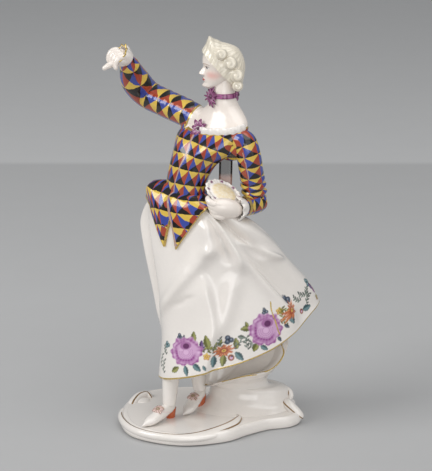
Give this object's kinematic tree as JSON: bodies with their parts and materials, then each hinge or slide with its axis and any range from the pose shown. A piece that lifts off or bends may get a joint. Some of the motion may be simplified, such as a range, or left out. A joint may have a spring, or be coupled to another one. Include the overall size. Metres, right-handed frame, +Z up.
{
  "type": "commedia dell'arte figurine",
  "caption": "Standing porcelain figurine of a dancing woman in a harlequin jacket and a long flower-bordered skirt, on a small rococo base.",
  "frame": {"origin": "middle of the underside of the base, on the ground", "axes": "+Z up the figure, +X to the right of the picture, +Y away from its camera"},
  "size_m": [0.1111, 0.0797, 0.202],
  "materials": {
    "porcelain": "glazed porcelain, painted in enamel colours and gold"
  },
  "bodies": {
    "root": {"figure": "porcelain"}
  },
  "joints": []
}
